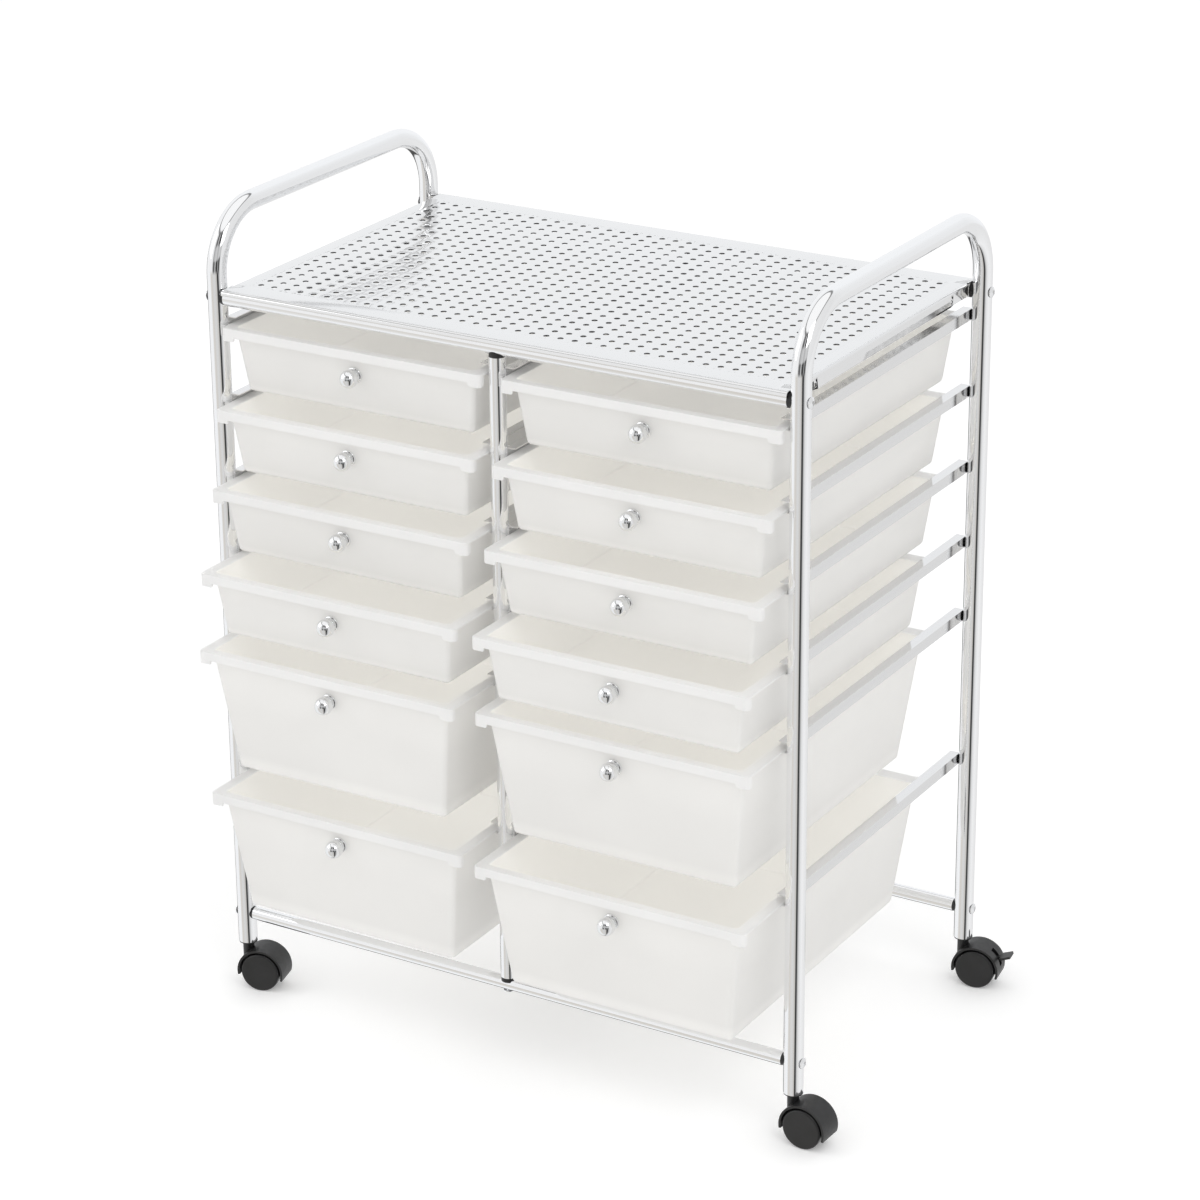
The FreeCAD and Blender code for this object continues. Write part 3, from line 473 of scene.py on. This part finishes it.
def tray_stations(half, length):
    """The places round a tray, as a share of the inner rectangle, a direction outward and the rim's drop."""
    tab_end = [(TAB_ROUND * (1 - sin(turn)), TAB_DROP - TAB_ROUND * (1 - cos(turn))) for turn in TAB_TURNS]
    front = [((half - TAB_WIDTH + inside) / (half - RIM_CORNER), drop)
             for inside, drop in (*tab_end, (-TAB_STEP, LIP_DROP))]
    side = [((TAB_DEPTH - inside - length / 2) / (length / 2 - RIM_CORNER), drop)
            for inside, drop in (*tab_end, (-TAB_STEP, RIM_DROP))]

    def corner(x, y, start, drop):
        turns = (start + pi / 2 * step / CORNER_STEPS for step in range(CORNER_STEPS + 1))
        return [(x, y, cos(turn), sin(turn), drop) for turn in turns]

    return (corner(-1, -1, pi, TAB_DROP)
            + [(-x, -1, 0, -1, drop) for x, drop in front]
            + [(x, -1, 0, -1, drop) for x, drop in reversed(front)]
            + corner(1, -1, 1.5 * pi, TAB_DROP)
            + [(1, y, 1, 0, drop) for y, drop in side]
            + corner(1, 1, 0, RIM_DROP)
            + corner(-1, 1, pi / 2, RIM_DROP)
            + [(-1, y, -1, 0, drop) for y, drop in reversed(side)])


def tray_profile(depth):
    """The outside from the foot up, the rim, and the inside down to the floor, as three lists of rings.
    A ring has insets from the rim's outline, a corner radius, a fall, and whether the rim's drop is added."""
    def leaning(inward, fall, corner):
        lean = tan(WALL_LEAN) * fall + inward
        return (TRAY_SIDE_INSET + lean, TRAY_FRONT_INSET + lean, TRAY_REAR_INSET + lean), corner, fall, False

    def foot(thickness, floor, turn):
        radius = WALL_FOOT - thickness
        tuck = radius * (1 - sin(turn))
        corner = max(WALL_CORNER - thickness - tuck, FOOT_CORNER)
        return leaning(thickness + tuck, floor - radius * (1 - cos(turn)), corner)

    def edge(inset, fall, dropped):
        return (inset, inset, inset), RIM_CORNER - inset, fall, dropped

    turns = [pi / 2 * step / FOOT_STEPS for step in range(FOOT_STEPS + 1)]
    outside = [foot(0, depth, turn) for turn in turns]
    outside.append(leaning(0, RIM_THICKNESS, WALL_CORNER))
    rim = [edge(LIP_THICKNESS, RIM_THICKNESS, False),
           edge(LIP_THICKNESS, -LIP_RISE, True),
           edge(SOFT_EDGE, 0, True),
           edge(SOFT_MIDDLE, -SOFT_MIDDLE, True),
           edge(0, -SOFT_EDGE, True),
           edge(0, SOFT_EDGE, False),
           edge(SOFT_MIDDLE, SOFT_MIDDLE, False),
           edge(SOFT_EDGE, 0, False),
           leaning(TRAY_WALL - SOFT_EDGE, 0, WALL_CORNER)]
    inside = [leaning(TRAY_WALL - SOFT_MIDDLE, SOFT_MIDDLE, WALL_CORNER - TRAY_WALL),
              leaning(TRAY_WALL, SOFT_EDGE, WALL_CORNER - TRAY_WALL)]
    inside += [foot(TRAY_WALL, depth - TRAY_WALL, turn) for turn in reversed(turns)]
    return outside, rim, inside


def tray(drawer):
    low, high = box_of(f"{drawer}_tray")
    item = mesh_object(f"{drawer}_tray_shell", f"{drawer}_drawer", "frosted_plastic", f"{drawer}_tray")
    # The rim's faces and the inside get the lighter, glowing copies of the plastic: painted light
    item.data.materials.append(MATERIALS["frosted_rim_painted_light"])
    item.data.materials.append(MATERIALS["frosted_inside_painted_light"])
    middle_x, half = (low.x + high.x) / 2, (high.x - low.x) / 2
    stations = tray_stations(half, high.y - low.y)
    form = bmesh.new()
    rings, kinds = [], []
    for kind, profile in enumerate(tray_profile(high.z - low.z)):
        for (side, front, rear), corner, fall, dropped in profile:
            middle_y = (low.y + front + high.y - rear) / 2
            half_length = (high.y - rear - low.y - front) / 2
            points = [(middle_x + x * (half - side - corner) + out_x * corner,
                       middle_y + y * (half_length - corner) + out_y * corner,
                       high.z - fall - (drop if dropped else 0))
                      for x, y, out_x, out_y, drop in stations]
            rings.append([form.verts.new(point) for point in points])
            kinds.append(kind)
    for end in (0, -1):
        form.faces.new(rings[end]).material_index = kinds[end]
    for before, after, kind in zip(rings, rings[1:], kinds[1:]):
        for face in join_rings(form, before, after):
            face.material_index = kind
    fill_mesh(item, form, angle=38)
    flat_faces_first(item)


# Knobs: a ball on a flanged neck, turned about an axis square to the tray's front wall

KNOB_DROP = 26 * MM
KNOB_RADIUS, KNOB_CENTRE = 8.8 * MM, 10.3 * MM
KNOB_UNDERCUT = radians(38)
KNOB_SIDES = 40
KNOB_STEPS = 16
KNOB_EDGE = 0.5 * MM
NECK_RADIUS, FLANGE_RADIUS, FLANGE_THICKNESS = 6.9 * MM, 8 * MM, 2 * MM
SCREW_RADIUS, SCREW_HEAD_RADIUS, SCREW_HEAD_HEIGHT = 2 * MM, 4 * MM, 2 * MM


def add_turned(form, profile, foot, axis):
    """Spin a profile of radius and distance along an axis; it starts and ends on the axis."""
    first = axis.orthogonal().normalized()
    second = axis.cross(first)
    start, end = (form.verts.new(foot + profile[place][1] * axis) for place in (0, -1))
    rings = [add_ring(form, foot + along * axis, radius, first, second, KNOB_SIDES)
             for radius, along in profile[1:-1]]
    for before, after in zip(rings, rings[1:]):
        join_rings(form, before, after)
    for index in range(KNOB_SIDES):
        following = (index + 1) % KNOB_SIDES
        form.faces.new((start, rings[0][index], rings[0][following]))
        form.faces.new((end, rings[-1][following], rings[-1][index]))


def knob_profile():
    """From the screw's head inside the drawer, over the flange and the neck, to the ball's front."""
    head_back = -TRAY_WALL - SCREW_HEAD_HEIGHT
    profile = [(0, head_back),
               (SCREW_HEAD_RADIUS - KNOB_EDGE, head_back),
               (SCREW_HEAD_RADIUS, head_back + KNOB_EDGE),
               (SCREW_HEAD_RADIUS, -TRAY_WALL),
               (SCREW_RADIUS, -TRAY_WALL),
               (SCREW_RADIUS, 0),
               (FLANGE_RADIUS, 0),
               (FLANGE_RADIUS, FLANGE_THICKNESS - KNOB_EDGE),
               (FLANGE_RADIUS - KNOB_EDGE, FLANGE_THICKNESS),
               (NECK_RADIUS, FLANGE_THICKNESS + KNOB_EDGE)]
    spread = pi / 2 + KNOB_UNDERCUT
    turns = (spread * step / KNOB_STEPS - KNOB_UNDERCUT for step in range(KNOB_STEPS))
    profile += [(KNOB_RADIUS * cos(turn), KNOB_CENTRE + KNOB_RADIUS * sin(turn)) for turn in turns]
    profile.append((0, KNOB_CENTRE + KNOB_RADIUS))
    return profile


def knob(drawer):
    low, high = box_of(f"{drawer}_tray")
    item = mesh_object(f"{drawer}_knob_turned", f"{drawer}_drawer", "knob_metal", f"{drawer}_knob")
    wall = low.y + TRAY_FRONT_INSET + tan(WALL_LEAN) * KNOB_DROP
    foot = Vector(((low.x + high.x) / 2, wall, high.z - KNOB_DROP))
    form = bmesh.new()
    add_turned(form, knob_profile(), foot, Vector((0, -cos(WALL_LEAN), -sin(WALL_LEAN))))
    fill_mesh(item, form, angle=50)


for column in COLUMNS:
    for level in LEVELS:
        tray(f"{column}_{level}")
        knob(f"{column}_{level}")


# Edges of the plain nodes

RAIL_EDGE, MOULDED_EDGE = 0.8 * MM, 0.3 * MM
SHARP_ANGLE = 30


def soften(item, width, segments):
    """Narrow rounded edges where faces meet at more than the sharp angle."""
    shade_smooth(item)
    modifier = item.modifiers.new("edges", "BEVEL")
    modifier.width = width
    modifier.segments = segments
    modifier.limit_method = "ANGLE"
    modifier.angle_limit = radians(SHARP_ANGLE)
    modifier.harden_normals = True


for name, item in nodes.items():
    if name.endswith("_rails"):
        soften(item, RAIL_EDGE, 4)
    elif name.endswith(("_housing", "brake_lever")):
        soften(item, MOULDED_EDGE, 2)
    elif name.endswith(("_post", "_tube", "_screws", "_plugs", "_inserts", "_pins", "_wheel")):
        smooth(item, SHARP_ANGLE)


# Studio: a pale floor, soft light from above and both sides, and a camera at the photograph's angle

# The camera looks at a point of the cart, given from the front left post's lower end
CAMERA_AZIMUTH = 30.9494
CAMERA_ELEVATION = 21.4919
CAMERA_ROLL = -0.5461
CAMERA_DISTANCE = 3.64175
CAMERA_TARGET = Vector((0.3105, 0.17186, 0.41157))
FOCAL_PIXELS = 3773.26
FRAME_PIXELS = 1200
CENTRE_PIXELS = (596.79, 560.00)
SENSOR_WIDTH = 36

FLOOR_REACH = 12
FLOOR_GREY = 0.93
LIGHT_TARGET = (0, 0, 0.4)

# The tent as the plating sees it, by bearing from 0 to 1 round the circle with the camera at 0.5:
# near the floor a white sweep with one dark gap, above it lamps and dark gaps on the camera's side
COOL, WARM, BEIGE = (0.95, 0.962, 0.975), (0.62, 0.6, 0.57), (0.68, 0.65, 0.605)
LOW_TENT = ((0.0, 0.8), (0.025, 0.1), (0.08, 0.08), (0.105, 0.9), (0.27, COOL), (0.33, BEIGE),
            (0.42, 0.72), (0.495, WARM), (0.515, 0.1), (0.534, 0.01), (0.555, 0.08), (0.575, 0.5),
            (0.62, 0.8), (0.7, 0.92), (0.85, 0.82))
HIGH_TENT = ((0.0, COOL), (0.2, 0.95), (0.36, 0.9), (0.385, 0.2), (0.43, 0.08), (0.45, 0.75),
             (0.47, 0.1), (0.515, 0.02), (0.53, 0.45), (0.55, 0.04), (0.575, 0.1), (0.6, 0.85),
             (0.78, 0.8), (0.9, COOL))
# Where the sweep gives way to the upper tent, by height from 0 to 1
SWEEP_END = ((0.40, 0.0), (0.45, 1.0))
# A pale band across the dark gaps, which the flat shelf mirrors when it is seen from behind
MID_TENT = ((0.36, 0.0), (0.4, 0.5), (0.47, 0.62), (0.5, 0.45), (0.54, 0.66), (0.6, 0.5), (0.63, 0.0))
MID_BAND = ((0.555, 0.0), (0.585, 1.0), (0.73, 1.0), (0.77, 0.0))
# The lamp overhead, with a gap before it
ROOF_LAMP = ((0.86, 0.0), (0.88, 1.0))
ROOF_GAP = ((0.86, 1.0), (0.875, 0.2), (0.89, 0.25), (0.905, 1.0))
# The even light for the matt surfaces, by height
SOFT_LIGHT = ((0.3, 0.62), (0.6, 0.7), (1.0, 1.0))


def floor():
    """A white floor that the plating doesn't mirror, because the tent holds its own sweep."""
    item = linked(bpy.data.objects.new("floor", bpy.data.meshes.new("floor")))
    corners = [(FLOOR_REACH * x, FLOOR_REACH * y, 0) for x, y in ((-1, -1), (1, -1), (1, 1), (-1, 1))]
    item.data.from_pydata(corners, [], [(0, 1, 2, 3)])
    material, tree, shader = new_material("floor")
    shader.inputs["Base Color"].default_value = (FLOOR_GREY, FLOOR_GREY, FLOOR_GREY, 1)
    shader.inputs["Roughness"].default_value = 0.7
    shader.inputs["Specular IOR Level"].default_value = 0.2
    shader.inputs["Emission Color"].default_value = (1, 1, 1, 1)
    shader.inputs["Emission Strength"].default_value = 0.2
    clear = tree.nodes.new("ShaderNodeBsdfTransparent")
    choice = tree.nodes.new("ShaderNodeMixShader")
    tree.links.new(tree.nodes.new("ShaderNodeLightPath").outputs["Is Glossy Ray"], choice.inputs["Fac"])
    tree.links.new(shader.outputs["BSDF"], choice.inputs[1])
    tree.links.new(clear.outputs["BSDF"], choice.inputs[2])
    tree.links.new(choice.outputs["Shader"], tree.nodes["Material Output"].inputs["Surface"])
    item.data.materials.append(material)


def area_light(name, place, size, power):
    """A square lamp turned toward the middle of the cart."""
    light = bpy.data.lights.new(name, "AREA")
    light.shape = "SQUARE"
    light.size = size
    light.energy = power
    item = linked(bpy.data.objects.new(name, light))
    item.location = place
    item.rotation_euler = (Vector(LIGHT_TARGET) - Vector(place)).to_track_quat("-Z", "Y").to_euler()


def scaled(tree, source, factor, offset):
    node = tree.nodes.new("ShaderNodeMath")
    node.operation = "MULTIPLY_ADD"
    tree.links.new(source, node.inputs[0])
    node.inputs[1].default_value = factor
    node.inputs[2].default_value = offset
    return node.outputs["Value"]


def world():
    """Even white light for the matt surfaces, and for the plating a tent with gaps."""
    surroundings = bpy.data.worlds.new("studio")
    scene.world = surroundings
    surroundings.use_nodes = True
    tree = surroundings.node_tree
    background = tree.nodes["Background"]
    coordinates = tree.nodes.new("ShaderNodeTexCoord")
    turn = tree.nodes.new("ShaderNodeMapping")
    turn.vector_type = "VECTOR"
    turn.inputs["Rotation"].default_value = (0, 0, radians(90 - CAMERA_AZIMUTH))
    tree.links.new(coordinates.outputs["Generated"], turn.inputs["Vector"])
    apart = tree.nodes.new("ShaderNodeSeparateXYZ")
    tree.links.new(turn.outputs["Vector"], apart.inputs["Vector"])
    bearing = tree.nodes.new("ShaderNodeMath")
    bearing.operation = "ARCTAN2"
    tree.links.new(apart.outputs["Y"], bearing.inputs[0])
    tree.links.new(apart.outputs["X"], bearing.inputs[1])
    share = scaled(tree, bearing.outputs["Value"], 1 / (2 * pi), 0.5)
    height = scaled(tree, apart.outputs["Z"], 0.5, 0.5)
    low_walls, high_walls = ramp(tree, share, LOW_TENT), ramp(tree, share, HIGH_TENT)
    tent = blended(tree, "MIX", ramp(tree, height, SWEEP_END), low_walls, high_walls)
    tent = blended(tree, "LIGHTEN", ramp(tree, height, MID_BAND), tent, ramp(tree, share, MID_TENT))
    tent = blended(tree, "LIGHTEN", 1.0, tent, ramp(tree, height, ROOF_LAMP))
    tent = blended(tree, "MULTIPLY", 1.0, tent, ramp(tree, height, ROOF_GAP))
    glossy = tree.nodes.new("ShaderNodeLightPath").outputs["Is Glossy Ray"]
    seen = blended(tree, "MIX", glossy, ramp(tree, height, SOFT_LIGHT), tent)
    tree.links.new(seen, background.inputs["Color"])


def camera():
    azimuth, elevation, roll = radians(CAMERA_AZIMUTH), radians(CAMERA_ELEVATION), radians(CAMERA_ROLL)
    back = Vector((sin(azimuth) * cos(elevation), -cos(azimuth) * cos(elevation), sin(elevation)))
    level = (-back).cross(Z_AXIS).normalized()
    upright = level.cross(-back)
    right = cos(roll) * level + sin(roll) * upright
    up = cos(roll) * upright - sin(roll) * level
    lens = bpy.data.cameras.new("camera")
    lens.sensor_width = SENSOR_WIDTH
    lens.lens = FOCAL_PIXELS / FRAME_PIXELS * SENSOR_WIDTH
    lens.shift_x = (FRAME_PIXELS / 2 - CENTRE_PIXELS[0]) / FRAME_PIXELS
    lens.shift_y = (CENTRE_PIXELS[1] - FRAME_PIXELS / 2) / FRAME_PIXELS
    item = linked(bpy.data.objects.new("camera", lens))
    place = FRONT_LEFT_POST + CAMERA_TARGET + back * CAMERA_DISTANCE
    item.matrix_world = Matrix.Translation(place) @ Matrix((right, up, back)).transposed().to_4x4()
    scene.camera = item


floor()
world()
area_light("key", (1.9, -1.4, 2.6), size=1.4, power=14)
area_light("fill", (-2.4, -1.4, 1.8), size=1.6, power=8)
camera()
scene.view_settings.view_transform = "Standard"
